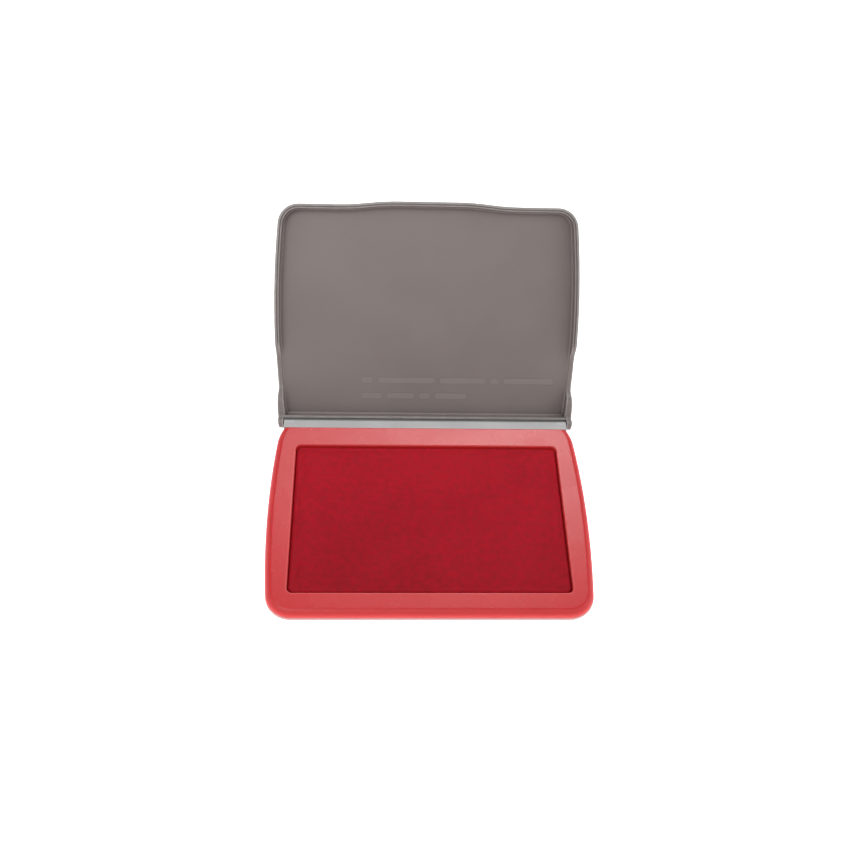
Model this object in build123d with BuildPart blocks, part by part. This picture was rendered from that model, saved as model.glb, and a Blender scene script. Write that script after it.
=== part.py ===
from build123d import *

import math
import os

# Hinged office stamp pad, lid open on its stop.  Millimetres.
# Origin: on the resting face, below the middle of the pad window.
# +X right, +Y back towards the hinge, +Z up.  The case is symmetric about the YZ plane.

# ---- pad window ----
window_width = 110.0
window_depth = 70.0
window_radius = 2.2

# ---- plan outline of the case: bowed sides that turn in at the hinge ----
case_half_width = 65.0
widest_y = 1.3
side_bow_radius = 388.0
front_y = -44.4
rear_y = 44.6
rear_half_width = 61.2
turn_in_y = 37.3
front_corner_radius = 10.5

# ---- heights of the base ----
flange_bottom = 4.0
flange_top = 5.5
frame_top = 8.7
floor_thickness = 1.4
body_inset = 2.0
foot_radius = 1.8
flange_edge_radius = 0.25

# ---- pad frame ----
frame_inset = 0.25
shoulder_radius = 2.6
frame_wall = 1.5
frame_roof = 1.4
window_edge_radius = 0.45
rear_edge_radius = 0.5

# ---- locating rib and snap beads between the shell and the frame ----
rib_gap = 0.2
rib_wall = 1.2
rib_top = 6.9
bead_length = 8.0
bead_reach = 0.4
bead_bottom = 6.0
bead_top = 6.7
bead_gap = 0.15
bead_spacing = 32.0
beads_per_side = 3

# ---- ink pad ----
tray_clearance = 0.3
margin_width = 1.7
backing_inset = 0.2
backing_thickness = 0.8
cloth_thickness = 0.45
pad_gap = 0.45
pad_top = 7.9
pad_edge_radius = 1.2
margin_top = 5.4
layer_gap = 0.03
felt_overcut = 1.0

# ---- hinge ----
hinge_y = 48.3
hinge_z = 6.5
open_angle = 131.1
bar_radius = 1.25
bar_half_length = 60.9
pin_radius = 0.75
pin_length = 3.2
socket_clearance = 0.05
socket_depth = 4.2
ear_gap = 0.4
lobe_radius = 2.1
web_overlap = 0.5
web_gap = 0.3

# ---- stop rib behind the hinge bar; heights and depths are from the hinge axis ----
stop_front = 0.8
stop_back = 4.0
stop_back_height = -1.30
stop_crest_back = 2.15
stop_crest_height = 0.31
stop_front_height = 0.8

# ---- lid, in its own frame: y runs from the free edge to the hinge, z outwards, ----
# ---- with the hinge axis as x ----
lid_length = 92.4
lid_widest = -47.0
rim_height = 1.8
lip_width = 0.95
ledge_height = 2.6
wall_thickness = 1.8
lid_floor = 7.0
lid_top = 8.4
rear_wall_front = -2.8
rear_wall_back = -1.8
lid_corner_radius = 8.8
lid_rear_corner_radius = 2.4
lid_edge_radius = 2.2
lid_floor_radius = 1.0
rim_edge_radius = 0.2
thumb_rise = 1.6
thumb_reach = 39.0
thumb_flat = 12.0
panel_width = 84.0
panel_depth = 44.0
panel_radius = 5.0
panel_recess = 0.3

# ---- scooped side walls beside the hinge, as distances from the hinge axis ----
scoop_start = 36.5
scoop_full = 26.5
scoop_end = 16.5
ear_front = 8.5
scoop_height = 6.2
scoop_near = 3.4
ear_bottom = 2.3
ear_top = 7.2

# ---- hinge ears: half widths of the bulging cheek, then its side profile ----
ear_rear_x = 63.0
ear_bulge_x = 63.9
ear_bulge_from_axis = 5.0
ear_front_x = 63.3
ear_taper_x = 62.0
ear_back_height = 4.0
ear_crown_from_axis = 1.1
ear_heel_from_axis = 3.3
ear_heel_height = 1.1
ear_edge_radius = 0.4
pin_root = 0.2

# ---- raised dashes on the lid's inner face: (start, length) of each, row by row ----
dash_rows = [
    (-17.9, [(-28.0, 5.0), (-21.0, 25.0), (6.0, 20.0), (28.0, 4.0), (34.0, 22.0)]),
    (-11.1, [(-28.0, 9.0), (-17.0, 12.0), (-3.0, 5.0), (4.0, 14.0)]),
]
dash_width = 2.4
dash_rise = 0.15
dash_root = 0.1

axis_point = (0, hinge_y, hinge_z)
lean = math.radians(open_angle)
lid_plane = Plane(origin=axis_point, x_dir=(1, 0, 0), z_dir=(0, math.sin(lean), math.cos(lean)))
outwards_axis = Axis(axis_point, lid_plane.z_dir)
# Side view of the lid: first coordinate away from the hinge, second outwards.
lid_side = Plane(origin=axis_point, x_dir=(0, -math.cos(lean), math.sin(lean)), z_dir=(-1, 0, 0))
# Side view of the base about the hinge axis: first coordinate back, second up.
hinge_side = Plane(origin=axis_point, x_dir=(0, 1, 0), z_dir=(1, 0, 0))


def bowed_half_width(from_widest):
    """Half width of the bowed side at a distance along it from its widest point."""
    return case_half_width - side_bow_radius + math.sqrt(side_bow_radius**2 - from_widest**2)


def case_outline(height, inset=0.0):
    """Plan outline of the base at a height, drawn a little inside the full size."""
    turn_in_x = bowed_half_width(turn_in_y - widest_y) - inset
    front_x = bowed_half_width(front_y - widest_y) - inset
    with BuildSketch(Plane.XY.offset(height)) as outline:
        with BuildLine():
            side = ThreePointArc(
                (turn_in_x, turn_in_y),
                (case_half_width - inset, widest_y),
                (front_x, front_y + inset),
            )
            corner = (rear_half_width - inset, rear_y - inset)
            TangentArc(side @ 0, corner, tangent=(side % 0) * -1)
            mirror(about=Plane.YZ)
            Line((-front_x, front_y + inset), (front_x, front_y + inset))
            Line((-corner[0], corner[1]), corner)
        make_face()
        fillet(outline.vertices().group_by(Axis.Y)[0], front_corner_radius - inset)
    return outline.sketch


def lid_outline(height, inset, rear):
    """Plan outline of the lid in its own frame, with the thumb bow on the free edge."""
    edge = -lid_length + inset
    rear_x = bowed_half_width(rear - lid_widest) - inset
    edge_x = bowed_half_width(edge - lid_widest) - inset
    ramp_middle = (thumb_reach + thumb_flat) / 2
    with BuildSketch(lid_plane.offset(height)) as outline:
        with BuildLine():
            ThreePointArc((rear_x, rear), (case_half_width - inset, lid_widest), (edge_x, edge))
            Line((edge_x, edge), (thumb_reach, edge))
            TangentArc((thumb_reach, edge), (ramp_middle, edge - thumb_rise / 2), tangent=(-1, 0))
            TangentArc(
                (thumb_flat, edge - thumb_rise), (ramp_middle, edge - thumb_rise / 2), tangent=(1, 0)
            )
            mirror(about=Plane.YZ)
            Line((-thumb_flat, edge - thumb_rise), (thumb_flat, edge - thumb_rise))
            Line((-rear_x, rear), (rear_x, rear))
        make_face()
        corners = outline.vertices().sort_by(lambda point: math.hypot(edge_x - abs(point.X), edge - point.Y))
        fillet(corners[0:2], lid_corner_radius - inset)
    return outline.sketch


def window_outline(height, grow=0.0):
    """Rounded rectangle of the pad window at a height, grown on every side."""
    with BuildSketch(Plane.XY.offset(height)) as outline:
        RectangleRounded(
            window_width + 2 * grow, window_depth + 2 * grow, max(window_radius + grow, 0.5)
        )
    return outline.sketch


os.makedirs("parts", exist_ok=True)

# ---- base shell: tray, flange, locating rib, hinge bar and stop rib ----
tray_grow = margin_width + tray_clearance
frame_channel = frame_inset + frame_wall
rib_outer = frame_channel + rib_gap
bead_y = (front_y + rib_outer, rear_y - rib_outer)
web_front = rear_y - hinge_y

with BuildPart() as base_shell:
    extrude(case_outline(0, body_inset), amount=flange_bottom)
    fillet(base_shell.edges().group_by(Axis.Z)[0], foot_radius)
    extrude(case_outline(flange_bottom), amount=flange_top - flange_bottom)
    for face in base_shell.faces().filter_by(Axis.Z).sort_by(Axis.Z)[-2:]:
        fillet(face.outer_wire().edges(), flange_edge_radius)
    extrude(case_outline(flange_top, rib_outer), amount=rib_top - flange_top)
    extrude(case_outline(flange_top, rib_outer + rib_wall), amount=rib_top - flange_top, mode=Mode.SUBTRACT)
    extrude(window_outline(floor_thickness, tray_grow), amount=frame_top, mode=Mode.SUBTRACT)
    # snap beads along the front and rear of the rib
    for y, outwards in zip(bead_y, (-1, 1)):
        with Locations((0, y + outwards * bead_reach / 2, (bead_bottom + bead_top) / 2)):
            with GridLocations(bead_spacing, 1, beads_per_side, 1):
                Box(bead_length, bead_reach, bead_top - bead_bottom)
    # hinge bar with the web that carries it
    with BuildSketch(hinge_side.offset(-bar_half_length)):
        Circle(bar_radius)
        with BuildLine():
            Polyline(
                (web_front - web_overlap, flange_bottom - hinge_z),
                (0, flange_bottom - hinge_z),
                (0, bar_radius),
                (web_front + web_gap, bar_radius),
                (web_front + web_gap, flange_top - hinge_z),
                (web_front - web_overlap, flange_top - hinge_z),
                close=True,
            )
        make_face()
    extrude(amount=2 * bar_half_length)
    # pin sockets in both ends of the bar
    for side in (-1, 1):
        with Locations(hinge_side.offset(side * (bar_half_length - socket_depth / 2))):
            Cylinder(pin_radius + socket_clearance, socket_depth, mode=Mode.SUBTRACT)
    # stop rib: its sloping top meets the back of the open lid's rear wall
    with BuildSketch(hinge_side.offset(-bar_half_length)):
        with BuildLine():
            Polyline(
                (stop_front, flange_bottom - hinge_z),
                (stop_back, flange_bottom - hinge_z),
                (stop_back, stop_back_height),
                (stop_crest_back, stop_crest_height),
                (stop_front, stop_front_height),
                close=True,
            )
        make_face()
    extrude(amount=2 * bar_half_length)

base_shell.part.label = "base_shell"
export_step(base_shell.part, "parts/base_shell.step")

# ---- pad frame: snaps over the shell and holds the pad's margin down ----
with BuildPart() as pad_frame:
    extrude(case_outline(flange_top, frame_inset), amount=frame_top - flange_top)
    top_edges = pad_frame.faces().sort_by(Axis.Z)[-1].edges()
    rear_edge = top_edges.sort_by(Axis.Y)[-1]
    fillet([edge for edge in top_edges if edge.center().Y < rear_edge.center().Y - 1], shoulder_radius)
    rear_face = pad_frame.faces().sort_by(Axis.Y)[-1]
    fillet([edge for edge in rear_face.edges() if edge.center().Z > flange_top], rear_edge_radius)
    extrude(window_outline(flange_top), amount=frame_top, mode=Mode.SUBTRACT)
    window_top = pad_frame.faces().sort_by(Axis.Z)[-1].inner_wires()[0].edges()
    fillet(window_top, window_edge_radius)
    # hollow underside
    with BuildSketch(Plane.XY.offset(flange_top)):
        add(case_outline(flange_top, frame_channel))
        add(window_outline(flange_top, frame_wall), mode=Mode.SUBTRACT)
    extrude(amount=frame_top - frame_roof - flange_top, mode=Mode.SUBTRACT)
    # pockets for the snap beads
    for y, outwards in zip(bead_y, (-1, 1)):
        pocket_depth = bead_reach + bead_gap
        with Locations((0, y + outwards * pocket_depth / 2, (bead_bottom + bead_top) / 2)):
            with GridLocations(bead_spacing, 1, beads_per_side, 1):
                Box(
                    bead_length + 2 * bead_gap,
                    pocket_depth,
                    bead_top - bead_bottom + 2 * bead_gap,
                    mode=Mode.SUBTRACT,
                )

pad_frame.part.label = "pad_frame"
export_step(pad_frame.part, "parts/pad_frame.step")

# ---- pad: backing plate, felt block and the cloth wrapped over it ----
backing_bottom = floor_thickness + layer_gap
pad_bottom = backing_bottom + backing_thickness + layer_gap

with BuildPart() as backing_plate:
    extrude(window_outline(backing_bottom, margin_width - backing_inset), amount=backing_thickness)

backing_plate.part.label = "backing_plate"
export_step(backing_plate.part, "parts/backing_plate.step")


def pad_form(part, inset, bottom):
    """Stepped pad block: a margin under the frame and a raised face in the window."""
    extrude(window_outline(bottom, margin_width - inset), amount=margin_top - inset - bottom)
    extrude(window_outline(bottom, -pad_gap - inset), amount=pad_top - inset - bottom)
    fillet(part.faces().sort_by(Axis.Z)[-1].edges(), pad_edge_radius - inset)


with BuildPart() as felt_core:
    pad_form(felt_core, cloth_thickness, pad_bottom)

felt_core.part.label = "felt_core"
export_step(felt_core.part, "parts/felt_core.step")

with BuildPart() as pad_cloth:
    pad_form(pad_cloth, 0, pad_bottom)
    with BuildPart(mode=Mode.PRIVATE) as felt_space:
        pad_form(felt_space, cloth_thickness - layer_gap, pad_bottom - felt_overcut)
    add(felt_space.part, mode=Mode.SUBTRACT)

pad_cloth.part.label = "pad_cloth"
export_step(pad_cloth.part, "parts/pad_cloth.step")

# ---- lid: shallow tray with a stepped rim, scooped sides and hinge ears ----
ear_inner_x = bar_half_length + ear_gap

with BuildPart() as ear:
    with BuildSketch(lid_plane.offset(-lobe_radius)):
        with BuildLine():
            bulge = ThreePointArc(
                (ear_rear_x, lobe_radius), (ear_bulge_x, -ear_bulge_from_axis), (ear_front_x, -scoop_end)
            )
            Polyline(
                bulge @ 1,
                (ear_taper_x, -scoop_end),
                (ear_inner_x, -ear_front),
                (ear_inner_x, lobe_radius),
                bulge @ 0,
            )
        make_face()
    extrude(amount=lobe_radius + ear_top)
    with BuildSketch(lid_side):
        with BuildLine():
            lobe = ThreePointArc((lobe_radius, 0), (0, -lobe_radius), (-lobe_radius, 0))
            back = Line(lobe @ 1, (-lobe_radius, ear_back_height))
            crown = TangentArc(back @ 1, (ear_crown_from_axis, ear_top), tangent=(0, 1))
            middle = ((scoop_end + ear_front) / 2, (scoop_height + ear_bottom) / 2)
            Polyline(crown @ 1, (scoop_end, ear_top), (scoop_end, scoop_height))
            TangentArc((scoop_end, scoop_height), middle, tangent=(-1, 0))
            TangentArc((ear_front, ear_bottom), middle, tangent=(1, 0))
            Polyline(
                (ear_front, ear_bottom),
                (ear_heel_from_axis, ear_bottom),
                (lobe_radius, ear_heel_height),
                lobe @ 0,
            )
        make_face()
    extrude(amount=case_half_width, both=True, mode=Mode.INTERSECT)
    fillet(ear.faces().sort_by(Axis.X)[-1].edges(), ear_edge_radius)
    with Locations(hinge_side.offset(ear_inner_x - pin_length / 2 + pin_root)):
        Cylinder(pin_radius, pin_length + 2 * pin_root)

with BuildPart() as lid_shell:
    extrude(lid_outline(rim_height, 0, rear_wall_back), amount=lid_top - rim_height)
    upright_edges = lid_shell.edges().filter_by(outwards_axis)
    fillet(upright_edges.sort_by_distance(axis_point)[0:2], lid_rear_corner_radius)
    fillet(lid_shell.faces().sort_by(outwards_axis)[-1].edges(), lid_edge_radius)
    extrude(
        lid_outline(rim_height, lip_width, rear_wall_front),
        amount=ledge_height - rim_height,
        mode=Mode.SUBTRACT,
    )
    extrude(
        lid_outline(ledge_height, wall_thickness, rear_wall_front),
        amount=lid_floor - ledge_height,
        mode=Mode.SUBTRACT,
    )
    level_faces = lid_shell.faces().filter_by(outwards_axis).sort_by(outwards_axis)
    fillet(level_faces[-2].edges(), lid_floor_radius)
    fillet(level_faces[0].edges(), rim_edge_radius)
    # scooped side walls
    with BuildSketch(lid_side):
        with BuildLine():
            near_middle = ((scoop_end + ear_front) / 2, (scoop_height + ear_bottom) / 2)
            far_middle = ((scoop_start + scoop_full) / 2, (scoop_height + rim_height) / 2)
            TangentArc((scoop_start, rim_height), far_middle, tangent=(-1, 0))
            TangentArc((scoop_full, scoop_height), far_middle, tangent=(1, 0))
            Line((scoop_full, scoop_height), (scoop_end, scoop_height))
            TangentArc((scoop_end, scoop_height), near_middle, tangent=(-1, 0))
            TangentArc((ear_front, ear_bottom), near_middle, tangent=(1, 0))
            Polyline(
                (ear_front, ear_bottom),
                (scoop_near, ear_bottom),
                (scoop_near, 0),
                (scoop_start, 0),
                (scoop_start, rim_height),
            )
        make_face()
    extrude(amount=2 * case_half_width, both=True, mode=Mode.SUBTRACT)
    add(ear.part)
    mirror(ear.part, about=Plane.YZ)
    # blank panel on the outside
    with BuildSketch(lid_plane.offset(lid_top - panel_recess)):
        with Locations((0, -lid_length / 2)):
            RectangleRounded(panel_width, panel_depth, panel_radius)
    extrude(amount=panel_recess, mode=Mode.SUBTRACT)
    # plain raised dashes on the inner face
    for row_y, dashes in dash_rows:
        for start, length in dashes:
            with BuildSketch(lid_plane.offset(lid_floor - dash_rise)):
                with Locations((start + length / 2, row_y)):
                    SlotOverall(length, dash_width)
            extrude(amount=dash_rise + dash_root)

lid_shell.part.label = "lid_shell"
export_step(lid_shell.part, "parts/lid_shell.step")
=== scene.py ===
import math

import bpy
import numpy as np
from mathutils import Matrix, Vector


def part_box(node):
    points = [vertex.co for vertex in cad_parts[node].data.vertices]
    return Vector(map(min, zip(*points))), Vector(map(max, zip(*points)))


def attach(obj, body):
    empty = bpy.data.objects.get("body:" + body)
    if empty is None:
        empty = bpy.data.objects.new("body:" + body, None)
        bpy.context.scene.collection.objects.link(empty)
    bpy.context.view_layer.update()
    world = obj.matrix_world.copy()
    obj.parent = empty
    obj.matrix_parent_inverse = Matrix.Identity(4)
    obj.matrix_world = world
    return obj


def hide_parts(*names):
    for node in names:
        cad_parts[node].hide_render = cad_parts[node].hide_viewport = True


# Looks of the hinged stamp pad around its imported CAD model. Metres, +Z up, lid open on its stop.
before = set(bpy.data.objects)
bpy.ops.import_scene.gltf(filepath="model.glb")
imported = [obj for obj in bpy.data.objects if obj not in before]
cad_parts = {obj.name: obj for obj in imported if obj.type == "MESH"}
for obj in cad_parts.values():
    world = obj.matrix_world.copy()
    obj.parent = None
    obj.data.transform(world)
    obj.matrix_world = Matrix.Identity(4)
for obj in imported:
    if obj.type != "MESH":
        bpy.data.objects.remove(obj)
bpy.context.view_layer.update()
MM = 0.001

# ---- camera ----
CAMERA_PLACE = Vector((-21.1, -226.3, 358.7)) * MM
CAMERA_DOWN, CAMERA_TURN, CAMERA_ROLL = 52.04, 4.33, 3.90  # degrees
CAMERA_LENS, CAMERA_SENSOR = 43.76, 36  # mm

# ---- places on the CAD model that the materials follow ----
HINGE = Vector((0, 48.3, 6.5)) * MM
LID_OPENING = math.radians(131.1)  # from closed to its stop
LID_OUTWARDS = Vector((0, math.sin(LID_OPENING), math.cos(LID_OPENING)))
LID_FLOOR = 7.0 * MM  # outwards from the hinge axis to the lid's inner face
FLANGE_HEIGHT = 5.6 * MM  # height of the flange's top, up to which the shell is painted with a pink reflection of the red frame

# ---- ink pad: its raised face stands inside the frame's window ----
PAD_MARGIN = 1.7 * MM  # hidden margin round the window, under the frame
PAD_GAP = 0.45 * MM  # between the window and the raised face
PAD_EDGE_RADIUS = 1.2 * MM
PAD_CORNER_RADIUS = 1.2 * MM  # of the flat part of the face
PAD_MARGIN_DROP = 2.5 * MM  # from the face down to the margin
PAD_BEVEL = 0.3 * MM  # at the foot of the face's side and round the underside
PAD_SHOULDER = 0.7 * MM  # rounding of the margin's outer edge
PAD_SHOULDER_CUT = 0.2 * MM  # how far that rounding's middle point is from the corner
CLOTH_THICKNESS = 0.4 * MM
HEM_THICKNESS = 0.2 * MM  # of the hem, pressed flat under the felt
HEM_WIDTH = 6.0 * MM
THREAD_PITCH = 0.62 * MM
THREAD_RISE = 0.05 * MM
LUMP_RISE = 0.02 * MM  # of the soft lumps in the face
EDGE_FADE = 2.0 * MM  # the swell, lumps and weave fade out over this much at the face's edge
SWELL_CELL = 1.5 * MM
SWELL_FRAMES = 20
SWELL_START_DROP = 0.25 * MM  # the face is simulated from this much lower
SWELL_CAP = 0.4 * MM
FELT_GAP = 0.03 * MM  # between the felt and the cloth
FELT_CELL = 0.8 * MM
FELT_DENT = 0.03 * MM

# ---- stage ----
FLOOR_HALF = 3.0
FLOOR_DROP = 0.05 * MM  # the floor lies just below the resting face
# Softboxes: azimuth clockwise from the back and elevation in degrees, distance, width and height
# in metres, and radiance.
SOFTBOXES = {
    "back_right": (14, 48, 0.8, 0.26, 0.14, 6.4),
    "back_left": (-12, 48, 0.8, 0.22, 0.12, 0.9),
    "back_high": (6, 55, 0.8, 0.40, 0.16, 4.2),
    "front_high": (180, 62, 0.9, 0.60, 0.50, 1.3),
    "near_front_left": (238, 60, 0.42, 0.20, 0.20, 3.8),
    "left_low": (270, 18, 0.9, 0.60, 0.30, 0.7),
    "right": (90, 35, 0.9, 0.60, 0.50, 1.8),
    "right_low": (90, 14, 0.9, 0.60, 0.20, 0.8),
}
LIGHTS_AIM = Vector((0, 20, 20)) * MM
SKY_LIGHT = 0.18
HORIZON_LIGHT = 0.9  # a pale band where the floor ends
HORIZON_RISE = (0.05, 0.4)  # the heights between which the band fades into the sky
FLOOR_GLOW = 0.85  # the lit floor stays white round the object


# ---------------------------------------------------------------- materials
class Shader:
    """A node material with its Principled shader, and short ways to add nodes to it."""

    def __init__(self, name, **surface):
        self.material = bpy.data.materials.new(name)
        self.material.use_nodes = True
        self.tree = self.material.node_tree
        self.surface = self.tree.nodes["Principled BSDF"]
        for socket, value in surface.items():
            self.surface.inputs[socket.replace("_", " ")].default_value = value
        coordinates = self.tree.nodes.new("ShaderNodeTexCoord")
        self.place = coordinates.outputs["Object"]
        self.normal = coordinates.outputs["Normal"]

    def add(self, kind, inputs, **settings):
        """A node with its settings, and with each input set to a value or linked to an output."""
        node = self.tree.nodes.new(kind)
        for name, value in settings.items():
            setattr(node, name, value)
        for key, value in inputs.items():
            self.feed(node.inputs[key], value)
        return node

    def feed(self, socket, value):
        if isinstance(value, bpy.types.NodeSocket):
            self.tree.links.new(value, socket)
        else:
            socket.default_value = value

    def into(self, socket, value):
        self.feed(self.surface.inputs[socket], value)

    def noise(self, size, detail=2.0, roughness=0.5, stretch=(1, 1, 1), offset=0.0):
        """Noise from 0 to 1 with features of about that size, in metres."""
        moved = self.add(
            "ShaderNodeMapping",
            {"Vector": self.place, "Scale": stretch, "Location": (offset, offset, offset)},
        )
        inputs = {"Scale": 1 / size, "Detail": detail, "Roughness": roughness}
        inputs["Vector"] = moved.outputs[0]
        return self.add("ShaderNodeTexNoise", inputs).outputs[0]

    def remap(self, value, low, high, to_low=0.0, to_high=1.0):
        """Smoothly to_low where the value is low or less, and to_high where it is high or more."""
        ends = {"From Min": low, "From Max": high, "To Min": to_low, "To Max": to_high}
        inputs = {"Value": value, **ends}
        node = self.add("ShaderNodeMapRange", inputs, interpolation_type="SMOOTHSTEP")
        return node.outputs[0]

    def math(self, operation, a, b=0.0, c=0.0):
        return self.add("ShaderNodeMath", {0: a, 1: b, 2: c}, operation=operation).outputs[0]

    def mix(self, share, a, b):
        """Colour a where share is 0, and b where it is 1."""
        node = self.add("ShaderNodeMix", {"Factor": share}, data_type="RGBA")
        self.feed(node.inputs[6], a)
        self.feed(node.inputs[7], b)
        return node.outputs[2]

    def component(self, vector, axis):
        return self.add("ShaderNodeSeparateXYZ", {0: vector}).outputs[axis]

    def vector_math(self, operation, a, b, output="Vector"):
        node = self.add("ShaderNodeVectorMath", {0: a, 1: b}, operation=operation)
        return node.outputs[output]

    def body_colour(self):
        """The output that makes the base colour so far."""
        return self.surface.inputs["Base Color"].links[0].from_socket

    def bump(self, height, distance, strength=1.0, over=None):
        inputs = {"Height": height, "Distance": distance, "Strength": strength}
        node = self.add("ShaderNodeBump", inputs)
        if over is not None:
            self.feed(node.inputs["Normal"], over)
        return node.outputs[0]

    def nearness(self, distance, inside):
        """From 0 on open faces to 1 on edges and rims (inside) or in inner corners (not inside)."""
        node = self.add(
            "ShaderNodeAmbientOcclusion",
            {"Distance": distance},
            samples=8,
            inside=inside,
            only_local=True,
        )
        return self.math("SUBTRACT", 1.0, node.outputs["AO"])


def colour(red, green, blue):
    """A shader colour from its 0 to 255 display values."""
    linear = [value / 255 for value in (red, green, blue)]
    linear = [v / 12.92 if v <= 0.04045 else ((v + 0.055) / 1.055) ** 2.4 for v in linear]
    return (*linear, 1.0)


def moulded_plastic(
    name, dark, light, worn_and_highlit, roughness, grain_rise, rim=1.0 * MM, wear_and_highlight=1.0, corner_shade=0.0
):
    """Moulded plastic: cloudy flow marks, a fine spark-eroded grain, rims paler from wear and a
    painted highlight, and painted shade in its corners.
    """
    shader = Shader(name)
    clouds = shader.remap(shader.noise(24 * MM, 4, 0.55), 0.3, 0.7)
    specks = shader.noise(0.7 * MM, 3, 0.6, offset=0.31)
    shade = shader.math("MULTIPLY_ADD", specks, 0.35, shader.math("MULTIPLY", clouds, 0.65))
    body = shader.mix(shade, dark, light)
    # painted shade: hollows and creases are darkened towards a dark grey, and made duller
    hollows = shader.remap(shader.nearness(9 * MM, False), 0.05, 0.7)
    creases = shader.remap(shader.nearness(2.5 * MM, False), 0.1, 0.5)
    corners = shader.math("MULTIPLY_ADD", creases, 0.8, shader.math("MULTIPLY", hollows, 0.7))
    body = shader.mix(shader.math("MULTIPLY", corners, corner_shade), body, colour(64, 54, 54))
    # rims painted paler, partly wear and partly a painted highlight
    rim_wear_and_highlight = shader.remap(shader.nearness(rim, True), 0.08, 0.5, 0.0, wear_and_highlight)
    patches = shader.remap(shader.noise(5 * MM, 3), 0.35, 0.6, 0.75, 1.0)
    rim_wear_and_highlight = shader.math("MULTIPLY", rim_wear_and_highlight, patches)
    shader.into("Base Color", shader.mix(rim_wear_and_highlight, body, worn_and_highlit))
    smudges = shader.remap(shader.noise(15 * MM, 5, 0.6, offset=0.7), 0.35, 0.7, -0.05, 0.07)
    dull = shader.math("MULTIPLY_ADD", corners, corner_shade, roughness)
    shader.into("Roughness", shader.math("ADD", smudges, dull))
    grain = shader.bump(shader.noise(0.22 * MM, 2, 0.5), grain_rise, 0.6)
    waves = shader.bump(shader.noise(17 * MM, 1, 0.3, offset=0.2), 0.12 * MM, 0.5, over=grain)
    shader.into("Normal", waves)
    return shader


def lid_plastic():
    shader = moulded_plastic(
        "lid_plastic",
        colour(132, 122, 119),
        colour(137, 127, 124),
        colour(172, 168, 165),
        0.42,
        0.012 * MM,
        rim=0.95 * MM,
        corner_shade=0.45,
    )
    # the raised dashes are rubbed a little paler than the face they stand on
    body = shader.body_colour()
    from_hinge = shader.vector_math("SUBTRACT", shader.place, HINGE)
    outwards = shader.vector_math("DOT_PRODUCT", from_hinge, LID_OUTWARDS, "Value")
    off_floor = shader.remap(outwards, LID_FLOOR - 0.1 * MM, LID_FLOOR - 0.05 * MM, 1.0, 0.0)
    not_walls = shader.remap(outwards, LID_FLOOR - 0.25 * MM, LID_FLOOR - 0.2 * MM)
    raised = shader.math("MULTIPLY", off_floor, not_walls)
    share = shader.math("MULTIPLY", raised, 0.7)
    shader.into("Base Color", shader.mix(share, body, colour(146, 137, 134)))
    return shader.material


def shell_plastic():
    """Pale plastic, painted pink at the flange's front as a reflection of the red frame, and
    painted with shade behind the hinge bar.
    """
    shader = moulded_plastic(
        "shell_plastic",
        colour(176, 176, 176),
        colour(188, 188, 189),
        colour(208, 208, 210),
        0.42,
        0.010 * MM,
        wear_and_highlight=0.4,
    )
    body = shader.body_colour()
    height = shader.component(shader.place, "Z")
    depth = shader.component(shader.place, "Y")
    # painted reflection: the flange's front is tinted a pale pink as if lit by the red frame,
    # fading towards the back
    flange = shader.remap(height, FLANGE_HEIGHT - 1.2 * MM, FLANGE_HEIGHT - 0.5 * MM, 0.15, 0.9)
    flange_top = shader.remap(height, FLANGE_HEIGHT - 0.1 * MM, FLANGE_HEIGHT, 1.0, 0.0)
    red_bounce = shader.math("MULTIPLY", flange, flange_top)
    red_bounce = shader.math("MULTIPLY", red_bounce, shader.remap(depth, 30 * MM, 44 * MM, 1.0, 0.1))
    body = shader.mix(red_bounce, body, colour(236, 158, 154))
    # painted shade: the shell behind the hinge bar, above the flange's height, is painted dark grey
    # where the gap under the lid's rear wall is in shade
    behind_bar = shader.remap(depth, HINGE.y + 0.9 * MM, HINGE.y + 1.2 * MM)
    on_bar = shader.remap(height, FLANGE_HEIGHT, FLANGE_HEIGHT + 0.6 * MM, 0.0, 0.85)
    gap_shade = shader.math("MULTIPLY", behind_bar, on_bar)
    shader.into("Base Color", shader.mix(gap_shade, body, colour(84, 82, 82)))
    return shader.material


def backing_plastic():
    shader = moulded_plastic(
        "backing_plastic",
        colour(196, 194, 188),
        colour(210, 208, 203),
        colour(226, 224, 220),
        0.55,
        0.014 * MM,
    )
    return shader.material


def frame_plastic():
    """Slightly see-through red plastic with painted light: its rounded shoulders are painted a
    lighter, purer red than its flat top, and its edges a pale painted highlight.
    """
    shader = Shader(
        "frame_plastic",
        Subsurface_Weight=0.25,
        Subsurface_Scale=2.0 * MM,
        Subsurface_Radius=(1.0, 0.25, 0.2),
    )
    clouds = shader.remap(shader.noise(20 * MM, 2, 0.4, offset=0.4), 0.2, 0.8)
    specks = shader.noise(0.6 * MM, 3, 0.6)
    shade = shader.math("MULTIPLY_ADD", specks, 0.3, shader.math("MULTIPLY", clouds, 0.7))
    body = shader.mix(shade, colour(213, 51, 55), colour(217, 54, 58))
    upright = shader.component(shader.normal, "Z")
    # painted light: faces turned away from upright are painted a lighter, purer red, as if lit
    # through the plastic
    body = shader.mix(shader.remap(upright, 0.0, 1.0, 1.0, 0.0), body, colour(236, 54, 56))
    # painted highlight: the edges, the window's rim among them, are painted a pale pink
    rim_wear_and_highlight = shader.remap(shader.nearness(0.9 * MM, True), 0.05, 0.45, 0.0, 0.6)
    shader.into("Base Color", shader.mix(rim_wear_and_highlight, body, colour(238, 136, 138)))
    smudges = shader.remap(shader.noise(14 * MM, 3, 0.5, offset=0.5), 0.25, 0.8, -0.015, 0.03)
    shoulder = shader.remap(upright, 0.9, 1.0, 0.55, 0.27)
    shader.into("Roughness", shader.math("ADD", smudges, shoulder))
    grain = shader.bump(shader.noise(0.25 * MM, 2, 0.5), 0.008 * MM, 0.2)
    waves = shader.bump(shader.noise(24 * MM, 0, 0.3), 0.10 * MM, 0.5, over=grain)
    shader.into("Normal", waves)
    return shader.material


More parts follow.
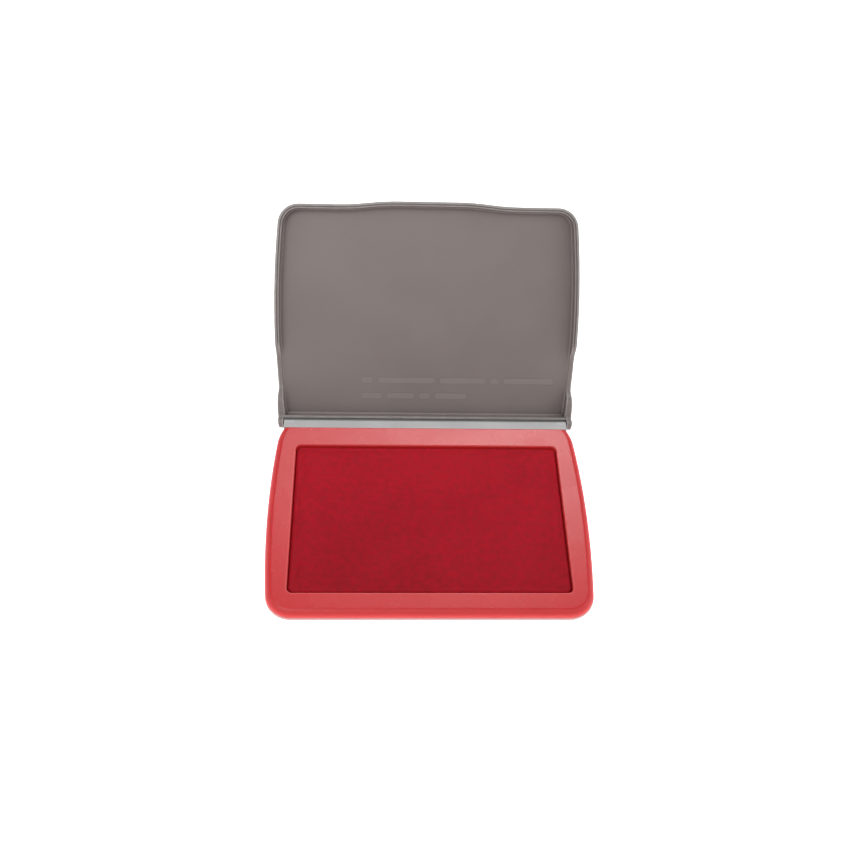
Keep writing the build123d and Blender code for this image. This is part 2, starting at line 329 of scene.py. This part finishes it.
def inked_cloth():
    """Ink-soaked plain weave, mottled where ink has pooled and dried, with fine fibres."""
    shader = Shader(
        "inked_cloth",
        Sheen_Weight=0.16,
        Sheen_Roughness=0.4,
        Sheen_Tint=colour(255, 60, 80),
        Specular_IOR_Level=0.16,
    )
    # painted light: the cloth is painted lighter towards the back
    lighter_to_back = shader.remap(shader.component(shader.place, "Y"), -35 * MM, 35 * MM)
    pools = shader.remap(shader.noise(26 * MM, 4, 0.6), 0.3, 0.7)
    blots = shader.remap(shader.noise(2.6 * MM, 4, 0.65, offset=0.2), 0.34, 0.68)
    fibres = shader.noise(0.5 * MM, 4, 0.7, offset=0.6)
    shade = shader.math("MULTIPLY_ADD", blots, 0.45, shader.math("MULTIPLY", pools, 0.25))
    shade = shader.math("MULTIPLY_ADD", fibres, 0.5, shader.math("SUBTRACT", shade, 0.1))
    shade = shader.math("MULTIPLY_ADD", lighter_to_back, 0.35, shade)
    shader.into("Base Color", shader.mix(shade, colour(140, 12, 28), colour(184, 22, 39)))
    shader.into("Roughness", shader.remap(blots, 0.0, 1.0, 0.66, 0.8))
    fuzz = shader.bump(shader.noise(0.16 * MM, 3, 0.6), 0.03 * MM, 0.7)
    lumps = shader.bump(shader.noise(1.4 * MM, 3, 0.6, offset=0.9), 0.06 * MM, 0.6, over=fuzz)
    shader.into("Normal", lumps)
    return shader.material


def pressed_felt():
    shader = Shader("pressed_felt", Roughness=0.9, Sheen_Weight=0.3)
    fibres = shader.noise(0.8 * MM, 5, 0.7, stretch=(1, 1, 3))
    shade = shader.remap(fibres, 0.3, 0.7)
    shader.into("Base Color", shader.mix(shade, colour(120, 22, 34), colour(158, 48, 58)))
    shader.into("Normal", shader.bump(fibres, 0.15 * MM, 0.8))
    return shader.material


def floor_finish():
    shader = Shader(
        "floor_finish",
        Roughness=0.9,
        Specular_IOR_Level=0.1,
        Emission_Color=(1, 1, 1, 1),
        Emission_Strength=FLOOR_GLOW,
    )
    tone = shader.noise(300 * MM, 2)
    shader.into("Base Color", shader.mix(tone, colour(248, 248, 248), colour(252, 252, 252)))
    return shader.material


def paint(node, material):
    """Gives a carried-over CAD node its finished material."""
    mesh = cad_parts[node].data
    mesh.materials.clear()
    mesh.materials.append(material)


# ---------------------------------------------------------------- ink pad
def new_object(name, points, faces):
    """A mesh object in the scene, with its points where the piece is."""
    mesh = bpy.data.meshes.new(name)
    mesh.from_pydata([tuple(point) for point in points], [], faces)
    made = bpy.data.objects.new(name, mesh)
    bpy.context.scene.collection.objects.link(made)
    return made


def uneven(x, y, across, bend, along, sway):
    """Soft lumps from -1 to 1, with their sizes as four lengths."""
    return np.sin(x / across + 2 * np.sin(y / bend)) * np.sin(y / along + np.sin(x / sway))


def rounded(x, y, half_x, half_y, radius):
    """Bends a rectangle's points so that its corners are round, and leaves the rest where it is."""
    over_x = np.maximum(np.abs(x) - (half_x - radius), 0)
    over_y = np.maximum(np.abs(y) - (half_y - radius), 0)
    reach = np.maximum(over_x, over_y)
    small = np.minimum(over_x, over_y) / np.maximum(reach, 1e-12)
    turn = small * math.pi / 4
    in_corner = (over_x > 0) & (over_y > 0)
    along, across = reach * np.cos(turn), reach * np.sin(turn)
    new_x = np.where(over_x >= over_y, along, across)
    new_y = np.where(over_x >= over_y, across, along)
    x = np.where(in_corner, np.sign(x) * (half_x - radius + new_x), x)
    y = np.where(in_corner, np.sign(y) * (half_y - radius + new_y), y)
    return x, y


def border_of(columns, rows):
    """Indices of a grid's border points in order, anticlockwise, for a grid stored row by row."""
    bottom = list(range(columns))
    right = [j * columns + columns - 1 for j in range(1, rows)]
    top = [(rows - 1) * columns + i for i in range(columns - 2, -1, -1)]
    left = [j * columns for j in range(rows - 2, 0, -1)]
    return bottom + right + top + left


def pad_profile(top, margin_z, bottom, inset=0.0, arc_steps=4):
    """The pad's side from its face outwards and down: (distance out, height) of each ring."""
    radius = PAD_EDGE_RADIUS - inset
    outer = PAD_EDGE_RADIUS + PAD_GAP + PAD_MARGIN - inset
    rings = []
    for step in range(1, arc_steps + 1):
        turn = math.pi / 2 * step / arc_steps
        rings.append((radius * math.sin(turn), top - radius * (1 - math.cos(turn))))
    return rings + [
        (radius, margin_z + PAD_BEVEL),
        (radius + PAD_BEVEL, margin_z),
        (outer - PAD_SHOULDER, margin_z),
        (outer - PAD_SHOULDER_CUT, margin_z - PAD_SHOULDER_CUT),
        (outer, margin_z - PAD_SHOULDER),
        (outer, bottom + PAD_BEVEL),
        (outer - PAD_BEVEL, bottom),
        (outer - HEM_WIDTH, bottom),
    ]


def face_size():
    """Half width and half depth of the flat part of the pad's face, from the CAD cloth's box."""
    low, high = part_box("pad_cloth")
    inset = PAD_MARGIN + PAD_GAP + PAD_EDGE_RADIUS
    return (high.x - low.x) / 2 - inset, (high.y - low.y) / 2 - inset


def grid_points(cell):
    """(x, y, columns, rows) of the pad face's grid, before its corners are rounded."""
    half_x, half_y = face_size()
    columns = 2 * round(half_x / cell) + 1
    rows = 2 * round(half_y / cell) + 1
    across, along = np.linspace(-half_x, half_x, columns), np.linspace(-half_y, half_y, rows)
    x, y = np.meshgrid(across, along)
    return x.ravel(), y.ravel(), columns, rows


def grid_faces(columns, rows):
    """The grid's faces, for a grid stored row by row."""
    firsts = [j * columns + i for j in range(rows - 1) for i in range(columns - 1)]
    return [(a, a + 1, a + columns + 1, a + columns) for a in firsts]


def sleeve(points, faces, loop, rings, half_x, half_y, flip=False):
    """Adds rings of points down from a face's border loop, and returns the last loop."""
    border = points[loop][:, :2]
    core_x, core_y = half_x - PAD_CORNER_RADIUS, half_y - PAD_CORNER_RADIUS
    core_x = np.clip(border[:, 0], -core_x, core_x)
    core_y = np.clip(border[:, 1], -core_y, core_y)
    away = border - np.stack([core_x, core_y], axis=1)
    away /= np.maximum(np.linalg.norm(away, axis=1, keepdims=True), 1e-12)
    count = len(loop)
    for out, height in rings:
        start = len(points)
        ring = np.column_stack([border + away * out, np.full(count, height)])
        points = np.vstack([points, ring])
        new_loop = list(range(start, start + count))
        for i in range(count):
            k = (i + 1) % count
            quad = (loop[i], new_loop[i], new_loop[k], loop[k])
            faces.append(quad[::-1] if flip else quad)
        loop = new_loop
    return points, loop


def pad_mesh(name, cell, top, margin_z, bottom, lift=None):
    """The cloth as a closed mesh with its hem tucked under, or without lift a block to simulate."""
    half_x, half_y = face_size()
    x, y, columns, rows = grid_points(cell)
    x, y = rounded(x, y, half_x, half_y, PAD_CORNER_RADIUS)
    z = np.full(len(x), top) if lift is None else top + lift(x, y)
    points = np.column_stack([x, y, z])
    faces = grid_faces(columns, rows)
    loop = border_of(columns, rows)
    outside = pad_profile(top, margin_z, bottom)
    points, hem = sleeve(points, faces, loop, outside, half_x, half_y)
    if lift is None:
        faces.append(tuple(hem[::-1]))
    else:
        inner_top = top - CLOTH_THICKNESS
        inside = pad_profile(
            inner_top,
            margin_z - CLOTH_THICKNESS,
            bottom + HEM_THICKNESS,
            inset=CLOTH_THICKNESS,
            arc_steps=2,
        )
        start = len(points)
        ledge = np.column_stack([points[loop][:, :2], np.full(len(loop), inner_top)])
        points = np.vstack([points, ledge])
        inner_loop = list(range(start, start + len(loop)))
        faces.append(tuple(inner_loop[::-1]))
        points, inner_hem = sleeve(points, faces, inner_loop, inside, half_x, half_y, flip=True)
        for i in range(len(hem)):
            k = (i + 1) % len(hem)
            faces.append((hem[i], inner_hem[i], inner_hem[k], hem[k]))
    piece = new_object(name, points, faces)
    piece.data.validate()
    return piece, columns, rows


def swollen_face(top, margin_z, bottom):
    """Swells the soaked pad by cloth simulation and returns the lift of its face as a grid."""
    start_top = top - SWELL_START_DROP
    block, columns, rows = pad_mesh("swell_block", SWELL_CELL, start_top, margin_z, bottom)
    rest = np.array([v.co for v in block.data.vertices])
    held = block.vertex_groups.new(name="held")
    for index, point in enumerate(rest):
        if point[2] < start_top - PAD_EDGE_RADIUS * 0.9:
            held.add([index], 1.0, "REPLACE")
    cloth = block.modifiers.new("cloth", "CLOTH")
    settings = {
        "quality": 6,
        "mass": 0.2,
        "tension_stiffness": 12,
        "compression_stiffness": 12,
        "shear_stiffness": 6,
        "bending_stiffness": 0.4,
        "use_pressure": True,
        "uniform_pressure_force": 4,
        "vertex_group_mass": "held",
    }
    for setting, value in settings.items():
        setattr(cloth.settings, setting, value)
    cloth.settings.effector_weights.gravity = 0
    cloth.collision_settings.use_collision = False
    scene = bpy.context.scene
    cloth.point_cache.frame_start, cloth.point_cache.frame_end = 1, SWELL_FRAMES
    for step in range(1, SWELL_FRAMES + 1):
        scene.frame_set(step)
    swollen = block.evaluated_get(bpy.context.evaluated_depsgraph_get()).to_mesh()
    moved = np.array([v.co for v in swollen.vertices])[: columns * rows]
    scene.frame_set(1)
    lift = np.clip(moved[:, 2] - rest[: columns * rows, 2], -SWELL_CAP, SWELL_CAP)
    bpy.data.objects.remove(block)
    return lift.reshape(rows, columns)


def build_pad():
    """The inked cloth over the felt, swollen and woven."""
    low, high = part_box("pad_cloth")
    top, bottom = high.z, low.z
    margin_z = top - PAD_MARGIN_DROP
    half_x, half_y = face_size()
    swell = swollen_face(top, margin_z, bottom)

    def across(values, x, y):
        """Smooth reading of a grid of values over the face."""
        rows, columns = values.shape
        column = np.clip((x + half_x) / (2 * half_x), 0, 1) * (columns - 1)
        row = np.clip((y + half_y) / (2 * half_y), 0, 1) * (rows - 1)
        i = np.minimum(column.astype(int), columns - 2)
        j = np.minimum(row.astype(int), rows - 2)
        u, v = column - i, row - j
        lower = values[j, i] * (1 - u) + values[j, i + 1] * u
        upper = values[j + 1, i] * (1 - u) + values[j + 1, i + 1] * u
        return lower * (1 - v) + upper * v

    def lift(x, y):
        """Height above the CAD face: the swell, soft felt lumps and the weave."""
        to_edge = np.minimum(half_x - np.abs(x), half_y - np.abs(y))
        fade = np.clip(to_edge / EDGE_FADE, 0, 1)
        fade = fade * fade * (3 - 2 * fade)
        swell_here = across(swell, x, y) - across(swell, half_x, half_y)
        lumps = LUMP_RISE * uneven(x, y, 3.1 * MM, 7.3 * MM, 2.7 * MM, 9.1 * MM)
        weft = np.cos(math.pi * x / THREAD_PITCH)
        weave = THREAD_RISE * weft * np.cos(math.pi * y / THREAD_PITCH)
        return (swell_here + lumps + weave) * fade

    pad = pad_mesh("inked_pad_cover", THREAD_PITCH / 2, top, margin_z, bottom, lift)[0]
    for polygon in pad.data.polygons:
        polygon.use_smooth = True
    pad.data.materials.append(inked_cloth())
    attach(pad, "base")
    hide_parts("pad_cloth")


def build_felt():
    """The felt block inside the cloth, its top a little uneven."""
    low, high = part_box("pad_cloth")
    top, bottom = high.z - CLOTH_THICKNESS - FELT_GAP, low.z + HEM_THICKNESS + FELT_GAP
    gap = CLOTH_THICKNESS + FELT_GAP
    half_x, half_y = face_size()
    x, y, columns, rows = grid_points(FELT_CELL)
    x, y = rounded(x, y, half_x, half_y, PAD_CORNER_RADIUS)
    dents = uneven(x, y, 1.9 * MM, 4.3 * MM, 1.6 * MM, 5.1 * MM)
    points = np.column_stack([x, y, top - FELT_DENT * (1 + dents)])
    faces = grid_faces(columns, rows)
    sides = pad_profile(top, high.z - PAD_MARGIN_DROP - gap, bottom, gap)[:-1]  # has no hem
    points, last = sleeve(points, faces, border_of(columns, rows), sides, half_x, half_y)
    faces.append(tuple(last[::-1]))
    felt = new_object("inked_felt_block", points, faces)
    for polygon in felt.data.polygons:
        polygon.use_smooth = len(polygon.vertices) == 4
    felt.data.materials.append(pressed_felt())
    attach(felt, "base")
    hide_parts("felt_core")


# ---------------------------------------------------------------- stage
def build_floor():
    corners = [(-1, -1), (1, -1), (1, 1), (-1, 1)]
    points = [(x * FLOOR_HALF, y * FLOOR_HALF, 0) for x, y in corners]
    floor = new_object("floor", points, [(0, 1, 2, 3)])
    floor.location.z = -FLOOR_DROP
    floor.data.materials.append(floor_finish())


def build_lights():
    """A plain sky that is paler at the horizon, and the softboxes."""
    world = bpy.data.worlds.new("studio")
    world.use_nodes = True
    nodes, links = world.node_tree.nodes, world.node_tree.links
    height = nodes.new("ShaderNodeSeparateXYZ")
    links.new(nodes.new("ShaderNodeTexCoord").outputs["Generated"], height.inputs[0])
    fall = nodes.new("ShaderNodeMapRange")
    fall.interpolation_type = "SMOOTHSTEP"
    links.new(height.outputs["Z"], fall.inputs["Value"])
    fall.inputs["From Min"].default_value, fall.inputs["From Max"].default_value = HORIZON_RISE
    fall.inputs["To Min"].default_value = HORIZON_LIGHT
    fall.inputs["To Max"].default_value = SKY_LIGHT
    nodes["Background"].inputs["Color"].default_value = (1, 1, 1, 1)
    links.new(fall.outputs[0], nodes["Background"].inputs["Strength"])
    bpy.context.scene.world = world
    for name, (azimuth, elevation, distance, width, height, radiance) in SOFTBOXES.items():
        turn, rise = math.radians(azimuth), math.radians(elevation)
        level = math.cos(rise)
        outwards = Vector((math.sin(turn) * level, math.cos(turn) * level, math.sin(rise)))
        data = bpy.data.lights.new(name, "AREA")
        data.shape = "RECTANGLE"
        data.size, data.size_y = width, height
        data.energy = radiance * math.pi * width * height
        light = bpy.data.objects.new(name, data)
        light.location = LIGHTS_AIM + distance * outwards
        light.rotation_euler = (-outwards).to_track_quat("-Z", "Y").to_euler()
        bpy.context.scene.collection.objects.link(light)


def build_camera():
    """Looks down at the pad from the front, a little turned and rolled."""
    down, turn, roll = (math.radians(a) for a in (CAMERA_DOWN, CAMERA_TURN, CAMERA_ROLL))
    ahead = math.cos(down)
    forward = Vector((math.sin(turn) * ahead, math.cos(turn) * ahead, -math.sin(down)))
    level = Vector((math.cos(turn), -math.sin(turn), 0))
    upright = level.cross(forward)
    right = math.cos(roll) * level + math.sin(roll) * upright
    up = -math.sin(roll) * level + math.cos(roll) * upright
    data = bpy.data.cameras.new("camera")
    data.lens = CAMERA_LENS
    data.sensor_width = CAMERA_SENSOR
    camera = bpy.data.objects.new("camera", data)
    axes = Matrix((right, up, -forward)).transposed().to_4x4()
    camera.matrix_world = Matrix.Translation(CAMERA_PLACE) @ axes
    bpy.context.scene.collection.objects.link(camera)
    bpy.context.scene.camera = camera


paint("lid_shell", lid_plastic())
paint("base_shell", shell_plastic())
paint("pad_frame", frame_plastic())
paint("backing_plate", backing_plastic())
build_pad()
build_felt()
build_floor()
build_lights()
build_camera()
bpy.context.scene.view_settings.view_transform = "Standard"
